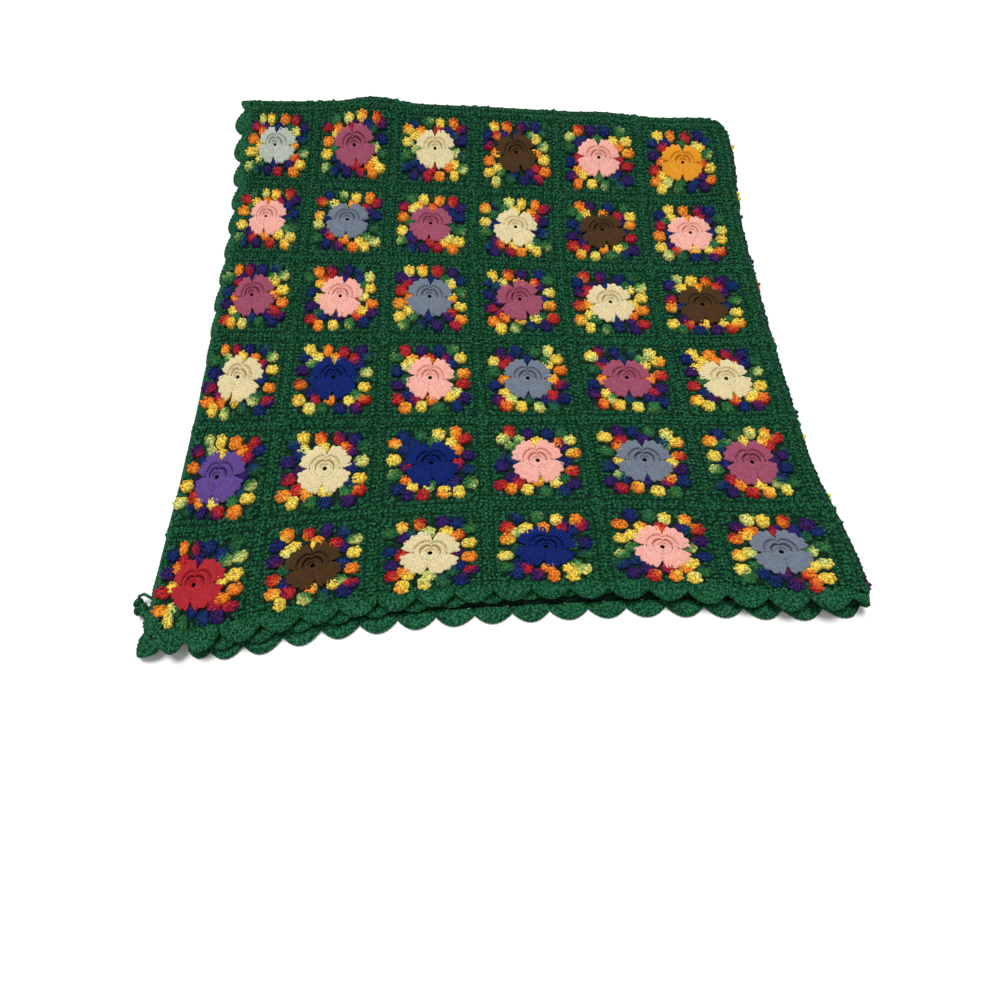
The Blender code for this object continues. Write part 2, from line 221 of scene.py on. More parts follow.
# The yarns, in linear colour, and the roses' slots
greenYarn = (0.008, 0.092, 0.036)
roseYarns = {
    "cream": ((0.780, 0.670, 0.385), "cream_yarn"),
    "pink": ((0.910, 0.455, 0.375), "pink_yarn"),
    "mauve": ((0.360, 0.086, 0.147), "mauve_yarn"),
    "blueGrey": ((0.180, 0.217, 0.275), "blue_grey_yarn"),
    "lightGrey": ((0.500, 0.545, 0.475), "light_grey_yarn"),
    "royalBlue": ((0.0042, 0.018, 0.147), "royal_blue_yarn"),
    "purple": ((0.127, 0.068, 0.282), "purple_yarn"),
    "red": ((0.460, 0.025, 0.035), "red_yarn"),
    "brown": ((0.072, 0.036, 0.012), "brown_yarn"),
    "orange": ((0.820, 0.342, 0.023), "orange_yarn"),
}
# Each finish scales the colour from painted shade in the gaps between the plies to painted light on their
# tops; the pale amount added on the highest places is fuzz and a painted highlight
yarnFinish = {
    "roughness": 0.92, "specular": 0.10, "fibreScale": 900.0, "plyScale": 420.0,
    "bumpDistance": 0.0010, "bumpStrength": 0.7, "gapShade": 0.46, "peakLight": 1.38, "fuzzAndGlint": 0.010,
}
mossyFinish = {**yarnFinish, "fibreScale": 480.0, "plyScale": 400.0, "bumpStrength": 0.8, "gapShade": 0.36,
               "peakLight": 1.52, "fuzzAndGlint": 0.028}
petalFinish = {**yarnFinish, "plyScale": 700.0, "bumpStrength": 0.35, "gapShade": 0.70, "peakLight": 1.04}
plyLook = {
    "fibreDetail": 3.0, "fibreRoughness": 0.6, "fibreHeight": 1.4, "plySmoothness": 0.35,
    "plyTop": 0.15, "plyGap": 0.75,         # distances from a ply's middle, where it is high and where low
    "darkBelow": 0.75, "lightAbove": 1.60,  # heights at which the yarn is in full painted shade and fully in painted light
    # heights between which the pale fuzz and painted highlight grow
    "fuzzAndGlintFrom": 1.25, "fuzzAndGlintFull": 1.65,
}


def addNode(tree, kind, inputs=None, **properties):
    node = tree.nodes.new(kind)
    for name, value in properties.items():
        setattr(node, name, value)
    for name, value in (inputs or {}).items():
        node.inputs[name].default_value = value
    return node


# Each link is a node, its output, the next node and its input
def linkNodes(tree, *links):
    for source, output, target, socket in links:
        tree.links.new(source.outputs[output], target.inputs[socket])


# Loose plies and fibres of the yarn: gives a height, and varies a colour with it: random tone from the
# fibres, painted shade in the gaps between the plies, painted light on their tops, and pale fuzz with a
# painted highlight on the highest places
def makeYarnGroup():
    group = bpy.data.node_groups.new("yarnPlies", "ShaderNodeTree")
    group.interface.new_socket("Color", in_out="INPUT", socket_type="NodeSocketColor")
    for name in ("Fibre Scale", "Ply Scale", "Gap Shade", "Peak Light", "Fuzz And Glint"):
        group.interface.new_socket(name, in_out="INPUT", socket_type="NodeSocketFloat")
    group.interface.new_socket("Color", in_out="OUTPUT", socket_type="NodeSocketColor")
    group.interface.new_socket("Height", in_out="OUTPUT", socket_type="NodeSocketFloat")
    given = addNode(group, "NodeGroupInput")
    result = addNode(group, "NodeGroupOutput")
    place = addNode(group, "ShaderNodeTexCoord")
    fibres = addNode(group, "ShaderNodeTexNoise",
                     {"Detail": plyLook["fibreDetail"], "Roughness": plyLook["fibreRoughness"]})
    plies = addNode(group, "ShaderNodeTexVoronoi", {"Smoothness": plyLook["plySmoothness"]},
                    feature="SMOOTH_F1")
    raised = addNode(group, "ShaderNodeMapRange", {
        "From Min": plyLook["plyTop"], "From Max": plyLook["plyGap"], "To Min": 1.0, "To Max": 0.0})
    height = addNode(group, "ShaderNodeMath", {1: plyLook["fibreHeight"]}, operation="MULTIPLY_ADD")
    # painted shade and light: the colour runs from its shaded share at the lowest heights to its lit share at
    # the highest
    shade = addNode(group, "ShaderNodeMapRange",
                    {"From Min": plyLook["darkBelow"], "From Max": plyLook["lightAbove"]})
    shaded = addNode(group, "ShaderNodeVectorMath", operation="SCALE")
    # pale fuzz that is also a painted highlight, added on the highest places
    fuzzAndGlint = addNode(group, "ShaderNodeMapRange",
                   {"From Min": plyLook["fuzzAndGlintFrom"], "From Max": plyLook["fuzzAndGlintFull"]})
    withFuzzAndGlint = addNode(group, "ShaderNodeVectorMath", operation="ADD")
    linkNodes(
        group,
        (place, "Object", fibres, "Vector"), (given, "Fibre Scale", fibres, "Scale"),
        (place, "Object", plies, "Vector"), (given, "Ply Scale", plies, "Scale"),
        (plies, "Distance", raised, "Value"), (fibres, "Fac", height, 0), (raised, "Result", height, 2),
        (height, "Value", shade, "Value"), (given, "Gap Shade", shade, "To Min"),
        (given, "Peak Light", shade, "To Max"), (given, "Color", shaded, 0), (shade, "Result", shaded, "Scale"),
        (height, "Value", fuzzAndGlint, "Value"), (given, "Fuzz And Glint", fuzzAndGlint, "To Max"),
        (shaded, "Vector", withFuzzAndGlint, 0), (fuzzAndGlint, "Result", withFuzzAndGlint, 1),
        (withFuzzAndGlint, "Vector", result, "Color"), (height, "Value", result, "Height"))
    return group


yarnGroup = makeYarnGroup()


# Yarn of one colour, or dyed along its length by the mesh's own colour attribute
def yarnMaterial(name, colour=None, finish=yarnFinish):
    material = bpy.data.materials.new(name)
    material.use_nodes = True
    tree = material.node_tree
    shader = tree.nodes["Principled BSDF"]
    shader.inputs["Roughness"].default_value = finish["roughness"]
    shader.inputs["Specular IOR Level"].default_value = finish["specular"]
    plies = addNode(tree, "ShaderNodeGroup", {
        "Fibre Scale": finish["fibreScale"], "Ply Scale": finish["plyScale"], "Gap Shade": finish["gapShade"],
        "Peak Light": finish["peakLight"], "Fuzz And Glint": finish["fuzzAndGlint"]}, node_tree=yarnGroup)
    bump = addNode(tree, "ShaderNodeBump",
                   {"Distance": finish["bumpDistance"], "Strength": finish["bumpStrength"]})
    if colour is None:
        dye = addNode(tree, "ShaderNodeAttribute", attribute_name="yarnColour")
        linkNodes(tree, (dye, "Color", plies, "Color"))
    else:
        plies.inputs["Color"].default_value = (*colour, 1.0)
    linkNodes(tree, (plies, "Color", shader, "Base Color"), (plies, "Height", bump, "Height"),
              (bump, "Normal", shader, "Normal"))
    return material


petalYarns = {name: yarnMaterial(name + "Yarn", colour, petalFinish)
              for name, (colour, slot) in roseYarns.items()}
mossyYarn = yarnMaterial("mossyGreenYarn", greenYarn, mossyFinish)
dyedYarn = yarnMaterial("variegatedYarn")
print("mossy, variegated and", len(petalYarns), "petal yarns made")


# Stitches are small flat shapes, with +Y away from the square's middle and z up from the cloth. A lump of
# yarn is rounded, long in Y, and cut off flat at a share of its height. Its sides are counted around it
# and from end to end.
def addLump(bm, size, middle, turn, sides, cut=-0.2):
    around, endToEnd = sides
    made = bmesh.ops.create_uvsphere(bm, u_segments=around, v_segments=endToEnd, radius=1.0)["verts"]
    bmesh.ops.rotate(bm, verts=made, matrix=Matrix.Rotation(math.pi / 2, 3, "X"))
    geometry = made + list({edge for vert in made for edge in vert.link_edges})
    geometry += list({face for vert in made for face in vert.link_faces})
    kept = bmesh.ops.bisect_plane(bm, geom=geometry, plane_co=(0, 0, cut), plane_no=(0, 0, -1),
                                  clear_outer=True)["geom"]
    made = [item for item in kept if isinstance(item, bmesh.types.BMVert)]
    turned = Matrix.Rotation(turn, 3, "Z")
    for vert in made:
        local = Vector((vert.co.x * size[0] / 2, vert.co.y * size[1] / 2, vert.co.z * size[2]))
        vert.co = turned @ local + Vector(middle)


# Points and triangles of a finished shape
def shapeArrays(bm):
    bmesh.ops.triangulate(bm, faces=bm.faces)
    bm.verts.index_update()
    points = np.array([vert.co for vert in bm.verts])
    faces = np.array([[vert.index for vert in face.verts] for face in bm.faces])
    bm.free()
    return points, faces


# Copies of a flat shape; a place is (across, along, turn, width, length, height, lift)
def placeCopies(shape, places):
    points, faces = shape
    across, along, turn, wide, long, high, lift = (column[:, None] for column in np.array(places).T)
    x = points[None, :, 0] * wide
    y = points[None, :, 1] * long
    flat = np.stack((across + x * np.cos(turn) - y * np.sin(turn),
                     along + x * np.sin(turn) + y * np.cos(turn),
                     points[None, :, 2] * high + lift), axis=2)
    offsets = np.arange(len(places))[:, None, None] * len(points)
    return flat.reshape(-1, 3), (faces[None] + offsets).reshape(-1, 3)


def addObject(name, data):
    thing = bpy.data.objects.new(name, data)
    bpy.context.scene.collection.objects.link(thing)
    return thing


def finishPiece(mesh, material):
    mesh.shade_smooth()
    mesh.materials.append(material)
    piece = addObject(mesh.name, mesh)
    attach(piece, "root")
    print(piece.name, len(mesh.loops) - 2 * len(mesh.polygons), "triangles")
    return piece


# One mesh of flat copies, or of a shape that is already in its place
def makePiece(name, copies, material, colours=None, fold=True):
    points, faces = copies
    mesh = bpy.data.meshes.new(name)
    mesh.vertices.add(len(points))
    mesh.vertices.foreach_set("co", (foldPoints(points) if fold else points).astype(np.float32).ravel())
    mesh.loops.add(faces.size)
    mesh.loops.foreach_set("vertex_index", faces.astype(np.int32).ravel())
    mesh.polygons.add(len(faces))
    mesh.polygons.foreach_set("loop_start", np.arange(0, faces.size, 3, dtype=np.int32))
    mesh.update(calc_edges=True)
    if colours is not None:
        dye = mesh.attributes.new("yarnColour", "FLOAT_COLOR", "POINT")
        rgba = np.ones((len(points), 4), np.float32)
        rgba[:, :3] = colours
        dye.data.foreach_set("color", rgba.ravel())
    return finishPiece(mesh, material)


# Squares are counted on the open cloth, column and row from 1 at the front left of the top layer
perSide, onTop = cloth["perSide"], cloth["onTop"]
allSquares = [(column, row) for column in range(1, perSide + 1) for row in range(1, perSide + 1)]
topSquares = [(column, row) for column, row in allSquares if max(column, row) <= onTop]
turnedSquares = [(column, row) for column, row in allSquares if max(column, row) == onTop + 1]
underSquares = [(column, row) for column, row in allSquares if column > onTop + 1 and row <= onTop]
edgeSquares = [(column, row) for column, row in allSquares
               if row > onTop + 1 and (column in (1, perSide) or row == perSide)
               or (column == perSide and row == onTop + 1)]
sideTurns = {"back": 0.0, "right": -math.pi / 2, "front": math.pi, "left": math.pi / 2}


def squareMiddle(column, row):
    return (column - 0.5) * cloth["pitch"], (row - 0.5) * cloth["pitch"]


# The place that is so far sideways and outward on one side of a square
def onSide(middle, turn, sideways, outward):
    return (middle[0] + sideways * math.cos(turn) - outward * math.sin(turn),
            middle[1] + sideways * math.sin(turn) + outward * math.cos(turn))


# The ground of the squares
ground = {
    "step": 0.011, "turnSteps": 10, "underSteps": 30,
    # from a square's middle to where its green begins and is full, in pitches; colours inside and outside,
    # both painted shade: the ground is far darker than the green yarn, for the shade in the gaps between the
    # stitches, and nearly black under the coloured rounds
    "greenBegins": 0.37, "greenFull": 0.42,
    "shadedInsideColour": (0.004, 0.024, 0.014, 1.0), "shadedGreenColour": (0.003, 0.030, 0.014, 1.0),
}


def groundLines(turnStart, turnLength):
    count = round((turnStart - cloth["rim"]) / ground["step"])
    near = np.linspace(cloth["rim"], turnStart, count + 1)
    turning = np.linspace(turnStart, turnStart + turnLength, ground["turnSteps"] + 1)
    under = np.linspace(turnStart + turnLength, clothEnd - cloth["rim"], ground["underSteps"] + 1)
    return np.concatenate((near, turning[1:], under[1:]))


# Green yarn in painted shade: dark all over, for the shade in the gaps between the stitches, and darker still
# where the coloured rounds stand over it
def shadedGroundMaterial():
    material = yarnMaterial("shadedGroundYarn", greenYarn)
    tree = material.node_tree
    plies = next(node for node in tree.nodes if node.type == "GROUP")
    openCloth = addNode(tree, "ShaderNodeUVMap", uv_map="openCloth")
    cell = addNode(tree, "ShaderNodeVectorMath", operation="FRACTION")
    centred = addNode(tree, "ShaderNodeVectorMath", {1: (0.5, 0.5, 0.0)}, operation="SUBTRACT")
    distance = addNode(tree, "ShaderNodeVectorMath", operation="ABSOLUTE")
    parts = addNode(tree, "ShaderNodeSeparateXYZ")
    farther = addNode(tree, "ShaderNodeMath", operation="MAXIMUM")
    inGreen = addNode(tree, "ShaderNodeMapRange",
                      {"From Min": ground["greenBegins"], "From Max": ground["greenFull"]})
    # the mask blends the two painted shade colours of the ground
    # a Mix node's colours are its inputs 6 and 7 and its output 2
    colours = addNode(tree, "ShaderNodeMix", {6: ground["shadedInsideColour"], 7: ground["shadedGreenColour"]},
                      data_type="RGBA")
    linkNodes(
        tree,
        (openCloth, "UV", cell, 0), (cell, "Vector", centred, 0), (centred, "Vector", distance, 0),
        (distance, "Vector", parts, "Vector"), (parts, "X", farther, 0), (parts, "Y", farther, 1),
        (farther, "Value", inGreen, "Value"), (inGreen, "Result", colours, "Factor"),
        (colours, 2, plies, "Color"))
    return material


def makeGround():
    acrossLines = groundLines(lie["rightStart"], lie["rightLength"])
    alongLines = groundLines(lie["backStart"], lie["backLength"])
    acrossSteps, alongSteps = len(acrossLines) - 1, len(alongLines) - 1
    bm = bmesh.new()
    bmesh.ops.create_grid(bm, x_segments=acrossSteps, y_segments=alongSteps, size=0.5)
    openCloth = bm.loops.layers.uv.new("openCloth")
    for vert in bm.verts:
        across = acrossLines[round((vert.co.x + 0.5) * acrossSteps)]
        along = alongLines[round((vert.co.y + 0.5) * alongSteps)]
        vert.co = (across, along, 0.0)
    for face in bm.faces:
        for loop in face.loops:
            loop[openCloth].uv = (loop.vert.co.x / cloth["pitch"], loop.vert.co.y / cloth["pitch"])
    bmesh.ops.translate(bm, verts=bm.verts, vec=(0, 0, -cloth["thickness"] / 2))
    lifted = bmesh.ops.extrude_face_region(bm, geom=list(bm.faces), use_keep_orig=True)["geom"]
    lifted = [item for item in lifted if isinstance(item, bmesh.types.BMVert)]
    bmesh.ops.translate(bm, verts=lifted, vec=(0, 0, cloth["thickness"]))
    bmesh.ops.recalc_face_normals(bm, faces=bm.faces)
    mesh = bpy.data.meshes.new("blanketGround")
    bm.to_mesh(mesh)
    bm.free()
    flat = np.empty(len(mesh.vertices) * 3)
    mesh.vertices.foreach_get("co", flat)
    mesh.vertices.foreach_set("co", foldPoints(flat.reshape(-1, 3)).ravel())
    mesh.update()
    return finishPiece(mesh, shadedGroundMaterial())


blanketGround = makeGround()
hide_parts("blanket")


# The coloured rounds: groups of three stitches, worked in variegated yarn
rainbow = {
    "cycle": [          # where the yarn's colours stand on its dyeing cycle
        (0.00, (0.840, 0.640, 0.095)),      # yellow
        (0.15, (0.880, 0.600, 0.070)),
        (0.19, (0.880, 0.300, 0.030)),      # orange
        (0.29, (0.820, 0.210, 0.020)),
        (0.33, (0.500, 0.030, 0.020)),      # red
        (0.41, (0.420, 0.016, 0.032)),
        (0.45, (0.046, 0.012, 0.095)),      # purple
        (0.56, (0.028, 0.014, 0.115)),
        (0.60, (0.009, 0.020, 0.130)),      # navy
        (0.72, (0.008, 0.030, 0.120)),
        (0.76, (0.014, 0.095, 0.040)),      # bright green
        (0.89, (0.040, 0.180, 0.050)),
        (0.93, (0.560, 0.640, 0.190)),      # pale green
        (1.00, (0.860, 0.700, 0.150)),
    ],
    "perGroup": 0.165, "perGroupRange": (0.8, 1.25),    # cycle used by one group of stitches
    "withinGroup": 0.085,
    "rounds": [
        # from the middle to the round's foot, group length, sideways places, outward tilts, share of height
        {"foot": 0.0200, "length": 0.0180, "places": (-0.0190, 0.0, 0.0190), "tilts": (0.26, 0.0, -0.26),
         "height": 0.72},
        {"foot": 0.0314, "length": 0.0186, "places": (-0.0284, -0.0097, 0.0097, 0.0284),
         "tilts": (0.15, 0.04, -0.04, -0.15), "height": 1.0},
    ],
    "width": 0.0196, "height": 0.0070, "lift": 0.0012,
    "widthRange": (0.86, 1.10), "lengthRange": (0.92, 1.06), "heightRange": (0.85, 1.15),
    "sidewaysJitter": 0.00126, "outwardJitter": 0.00108, "turnJitter": 0.12,
    "sway": 0.045,              # radians that a square's rounds are turned, either way
    "tiltedIn": 0.20, "tiltedLonger": 0.12,         # for each radian that a group is tilted
    # the stitches at a fold, on the squares past it: this much farther in, lower, in the dark colours
    "pastFoldIn": 0.0110, "pastFoldHeight": 0.4, "pastFoldStart": 0.46, "pastFoldPerGroup": 0.10,
    "hiddenHeight": 0.7,        # share of the height on the squares that are turned under
    # sideways, outward, width, length, height and turn of a group's body, and of each of its knobs
    "body": (0.00, 0.50, 0.76, 1.00, 0.70, 0.0),
    "knobs": [
        (-0.23, 0.34, 0.26, 0.52, 0.94, 0.25),
        (0.01, 0.36, 0.25, 0.60, 1.06, 0.0),
        (0.24, 0.34, 0.26, 0.52, 0.94, -0.25),
        (-0.24, 0.72, 0.34, 0.27, 1.00, 0.6),
        (0.03, 0.83, 0.33, 0.27, 1.06, 1.2),
        (0.27, 0.68, 0.34, 0.27, 1.00, -0.8),
    ],
    "headKnobs": 3,             # the last knobs are the stitches' heads
    "bodySides": (8, 5), "plainSides": (6, 4),
}


# Colour of the variegated yarn at positions along its cycle
def dyedColour(position):
    where = np.array([stop[0] for stop in rainbow["cycle"]])
    return np.stack([np.interp(position % 1.0, where, [stop[1][channel] for stop in rainbow["cycle"]])
                     for channel in range(3)], axis=-1)


# Three tall stitches from one foot with their heads side by side, as knobs; one unit wide and long
def stitchGroup(knobs, bodySides):
    bm = bmesh.new()
    lumps = [(rainbow["body"], bodySides)] + [(knob, rainbow["plainSides"]) for knob in knobs]
    for (sideways, outward, width, length, height, turn), sides in lumps:
        addLump(bm, (width, length, height), (sideways, outward, 0.0), turn, sides)
    return shapeArrays(bm)


# Places of all the coloured groups of these squares, and where each is on the yarn's cycle
def groupPlaces(squares, rounds, heightShare):
    places, phases = [], []
    for column, row in squares:
        middle = squareMiddle(column, row)
        foldTurns = [sideTurns[side] for side, count in (("front", row), ("left", column))
                     if count == onTop + 1]
        for settings in rounds:
            phase = rng.random()
            sway = rng.gauss(0, rainbow["sway"])
            for turn in sideTurns.values():
                for index, (sideways, tilt) in enumerate(zip(settings["places"], settings["tilts"])):
                    outward = settings["foot"] - rainbow["tiltedIn"] * abs(tilt) * settings["length"]
                    height = rainbow["height"] * settings["height"] * heightShare
                    colour = phase
                    if turn in foldTurns:
                        outward -= rainbow["pastFoldIn"]
                        height *= rainbow["pastFoldHeight"]
                        colour = rainbow["pastFoldStart"] + rainbow["pastFoldPerGroup"] * index
                    sideways += rng.gauss(0, rainbow["sidewaysJitter"])
                    outward += rng.gauss(0, rainbow["outwardJitter"])
                    across, along = onSide(middle, turn + sway, sideways, outward)
                    groupTurn = turn + sway + tilt + rng.gauss(0, rainbow["turnJitter"])
                    width = rainbow["width"] * rng.uniform(*rainbow["widthRange"])
                    length = settings["length"] * rng.uniform(*rainbow["lengthRange"])
                    length *= 1 + rainbow["tiltedLonger"] * abs(tilt)
                    height *= rng.uniform(*rainbow["heightRange"])
                    places.append((across, along, groupTurn, width, length, height, rainbow["lift"]))
                    phases.append(colour)
                    phase += rainbow["perGroup"] * rng.uniform(*rainbow["perGroupRange"])
    return places, np.array(phases)


def makeRainbow(name, squares, rounds, shape, heightShare=1.0):
    places, phases = groupPlaces(squares, rounds, heightShare)
    within = (shape[0][:, 0] + shape[0][:, 1]) * rainbow["withinGroup"]
    position = (phases[:, None] + within[None, :]).ravel()
    return makePiece(name, placeCopies(shape, places), dyedYarn, dyedColour(position))


innerRound, outerRound = rainbow["rounds"]
fullGroup = stitchGroup(rainbow["knobs"], rainbow["bodySides"])
headsGroup = stitchGroup(rainbow["knobs"][-rainbow["headKnobs"]:], rainbow["plainSides"])
plainGroup = stitchGroup([], rainbow["plainSides"])
rainbowInner = makeRainbow("rainbowInner", topSquares, [innerRound], fullGroup)
rainbowOuter = makeRainbow("rainbowOuter", topSquares, [outerRound], fullGroup)
rainbowTurned = makeRainbow("rainbowTurned", turnedSquares, rainbow["rounds"], headsGroup,
                            rainbow["hiddenHeight"])
rainbowUnder = makeRainbow("rainbowUnder", underSquares + edgeSquares, rainbow["rounds"], plainGroup,
                           rainbow["hiddenHeight"])


# The green joining round and its seams
joining = {
    "foot": 0.0470, "stitches": 20, "height": 0.0030, "lift": 0.0012, "slant": 0.45, "pastFold": 0.55,
    "knobs": [(0.0028, 0.0055, 0.0075), (0.0094, 0.0056, 0.0062)],      # outward, width, length
    "placeJitter": 0.0006, "slantJitter": 0.35, "sizeRange": (0.85, 1.15), "heightRange": (0.7, 1.25),
    "stitchSides": (5, 3),
}
# green stitches that fill the gaps between the coloured groups
between = {
    "places": (-0.0420, -0.0192, 0.0, 0.0192, 0.0420), "outward": 0.0438, "width": 0.0062, "length": 0.0100,
    "sidewaysJitter": 0.0010, "outwardJitter": 0.0008, "turnJitter": 0.20,
}
seams = {
    "pitch": 0.0054, "width": 0.0048, "length": 0.0076, "height": 0.0028, "lift": 0.0018, "slant": 0.45,
    "placeJitter": 0.0005, "slantJitter": 0.15, "widthRange": (0.85, 1.15), "heightRange": (0.8, 1.2),
    "pastFold": 0.060,          # how far they go on past the folds
}


def joiningPlaces(squares, heightShare=1.0):
    places = []
    for column, row in squares:
        middle = squareMiddle(column, row)
        for turn in sideTurns.values():
            atEdge = (column, turn) == (1, sideTurns["left"]) or (row, turn) == (1, sideTurns["front"])
            knobs = joining["knobs"][:1] if atEdge else joining["knobs"]
            for index in range(joining["stitches"]):
                share = (index + 0.5) / joining["stitches"] * 2 - 1
                for knob, (outward, width, length) in enumerate(knobs):
                    outward += joining["foot"] + rng.gauss(0, joining["placeJitter"])
                    sideways = share * outward + rng.gauss(0, joining["placeJitter"])
                    across, along = onSide(middle, turn, sideways, outward)
                    slant = joining["slant"] if (index + knob) % 2 else -joining["slant"]
                    slant += rng.gauss(0, joining["slantJitter"])
                    width *= rng.uniform(*joining["sizeRange"])
                    length *= rng.uniform(*joining["sizeRange"])
                    height = joining["height"] * rng.uniform(*joining["heightRange"]) * heightShare
                    places.append((across, along, turn + slant, width, length, height, joining["lift"]))
            for sideways in between["places"]:
                sideways += rng.gauss(0, between["sidewaysJitter"])
                outward = between["outward"] + rng.gauss(0, between["outwardJitter"])
                across, along = onSide(middle, turn, sideways, outward)
                places.append((across, along, turn + rng.gauss(0, between["turnJitter"]), between["width"],
                               between["length"], joining["height"] * heightShare, joining["lift"]))
    return places


# One plain stitch, one unit wide, long and high
def plainStitch():
    bm = bmesh.new()
    addLump(bm, (1.0, 1.0, 1.0), (0.0, 0.0, 0.0), 0.0, joining["stitchSides"])
    return shapeArrays(bm)


# The raised join of neighbouring squares: short slanting stitches along each seam line
def seamPlaces():
    places = []
    lines = onTop + 1
    for line in range(1, lines + 1):
        seam = line * cloth["pitch"]
        for index in range(int((lines + 0.5) * cloth["pitch"] / seams["pitch"])):
            position = (index + 0.5) * seams["pitch"]
            for across, along, turn in ((seam, position, 0.0), (position, seam, math.pi / 2)):
                if min(across, along) > foldedWidth + seams["pastFold"]:
                    continue
                across += rng.gauss(0, seams["placeJitter"])
                along += rng.gauss(0, seams["placeJitter"])
                turn += seams["slant"] + rng.gauss(0, seams["slantJitter"])
                width = seams["width"] * rng.uniform(*seams["widthRange"])
                height = seams["height"] * rng.uniform(*seams["heightRange"])
                places.append((across, along, turn, width, seams["length"], height, seams["lift"]))
    return places


stitch = plainStitch()
joiningStitches = joiningPlaces(topSquares) + joiningPlaces(turnedSquares, joining["pastFold"])
joiningRound = makePiece("joiningRound", placeCopies(stitch, joiningStitches), mossyYarn)
joiningSeams = makePiece("joiningSeams", placeCopies(stitch, seamPlaces()), mossyYarn)


# The scalloped border
border = {
    "scallops": 36, "firstNotch": 0.008,
    # a fan from the seam line: root, notch and tip, how round its rim is, and its ribs with their lobes
    "root": -0.0105, "notch": 0.0, "tip": 0.0150, "roundness": 2.0, "thickness": 0.0052,
    "ribs": 9, "ribHeight": 0.0009, "ribGrowth": 4, "lobe": 0.0006,
    "beadPlace": 0.80, "beadWidth": 0.09, "beadHeight": 0.0006, "rimShare": 0.22,
    "stepsPerRib": 3, "outSteps": 7,
    "lift": 0.0, "turnJitter": 0.03, "widthRange": (0.97, 1.03), "lengthRange": (0.97, 1.02),
    "heightRange": (0.9, 1.1),
    # the fans at a fold draw in
    "foldMiddle": 0.0255, "drawnIn": 0.45,
    "cornerTurn": math.pi / 4, "cornerOut": 0.0035, "cornerSize": (0.70, 1.0, 1.0),
}
# the stitches that the fans stand on, in groups of three
roots = {
    "group": 0.020, "places": (-0.0055, 0.0, 0.0055), "outward": -0.0120, "width": 0.0066, "length": 0.0085,
    "height": 0.0030, "lift": 0.0004, "turnJitter": 0.25, "heightRange": (0.8, 1.2),
}
scallopWidth = (clothEnd - 2 * border["firstNotch"]) / border["scallops"]


# One scallop: a ribbed fan with a rounded, lobed rim; +Y out from the seam line of the outer squares
def fanShape():
    bm = bmesh.new()
    acrossSteps = border["ribs"] * border["stepsPerRib"]
    bmesh.ops.create_grid(bm, x_segments=acrossSteps, y_segments=border["outSteps"], size=1.0)
    lower = list(bm.verts)
    upper = bmesh.ops.extrude_face_region(bm, geom=list(bm.faces), use_keep_orig=True)["geom"]
    upper = {item for item in upper if isinstance(item, bmesh.types.BMVert)}
    for vert in lower + list(upper):
        side, out = vert.co.x, (vert.co.y + 1.0) / 2
        rib = math.cos(border["ribs"] * math.pi * (side + 1.0) + math.pi)
        reach = mix(border["tip"], border["notch"], abs(side) ** border["roundness"])
        reach -= border["lobe"] * (1.0 - rib) / 2
        toRim = min((1.0 - out) / border["rimShare"], 1.0)
        height = border["thickness"] / 2 * math.sqrt(1.0 - (1.0 - toRim) ** 2)
        if vert in upper:
            height += border["ribHeight"] * rib * min(out * border["ribGrowth"], toRim)
            bead = (out - border["beadPlace"]) / border["beadWidth"]
            height += border["beadHeight"] * math.exp(-bead ** 2)
        else:
            height = -height
        vert.co = (scallopWidth / 2 * side, mix(border["root"], reach, out), height)
    bmesh.ops.recalc_face_normals(bm, faces=bm.faces)
    return shapeArrays(bm)


# Places of the fans, and of the row of stitches that they stand on
def borderPlaces():
    fans, rootStitches = [], []
    middle = (clothEnd / 2, clothEnd / 2)
    for turn in sideTurns.values():
        for scallop in range(border["scallops"]):
            sideways = border["firstNotch"] + (scallop + 0.5) * scallopWidth - clothEnd / 2
            across, along = onSide(middle, turn, sideways, clothEnd / 2)
            foldPlace = across if min(along, clothEnd - along) < cloth["rim"] else along
            fromFold = abs(foldPlace - foldedWidth - border["foldMiddle"]) / scallopWidth
            fanTurn = turn + rng.gauss(0, border["turnJitter"])
            width = rng.uniform(*border["widthRange"])
            length = rng.uniform(*border["lengthRange"]) - border["drawnIn"] * max(1.0 - fromFold, 0.0)
            height = rng.uniform(*border["heightRange"])
            fans.append((across, along, fanTurn, width, length, height, border["lift"]))
        corner = clothEnd / 2 + border["cornerOut"]
        across, along = onSide(middle, turn, corner, corner)
        fans.append((across, along, turn - border["cornerTurn"], *border["cornerSize"], border["lift"]))
        for group in range(round(clothEnd / roots["group"])):
            for place in roots["places"]:
                sideways = (group + 0.5) * roots["group"] + place - clothEnd / 2
                across, along = onSide(middle, turn, sideways, clothEnd / 2 + roots["outward"])
                rootTurn = turn + rng.gauss(0, roots["turnJitter"])
                height = roots["height"] * rng.uniform(*roots["heightRange"])
                rootStitches.append((across, along, rootTurn, roots["width"], roots["length"], height,
                                     roots["lift"]))
    return fans, rootStitches


fanPlaces, rootPlaces = borderPlaces()
edgingFans = makePiece("edgingFans", placeCopies(fanShape(), fanPlaces), mossyYarn)
edgingFoot = makePiece("edgingFoot", placeCopies(stitch, rootPlaces), mossyYarn)
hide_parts("edging")


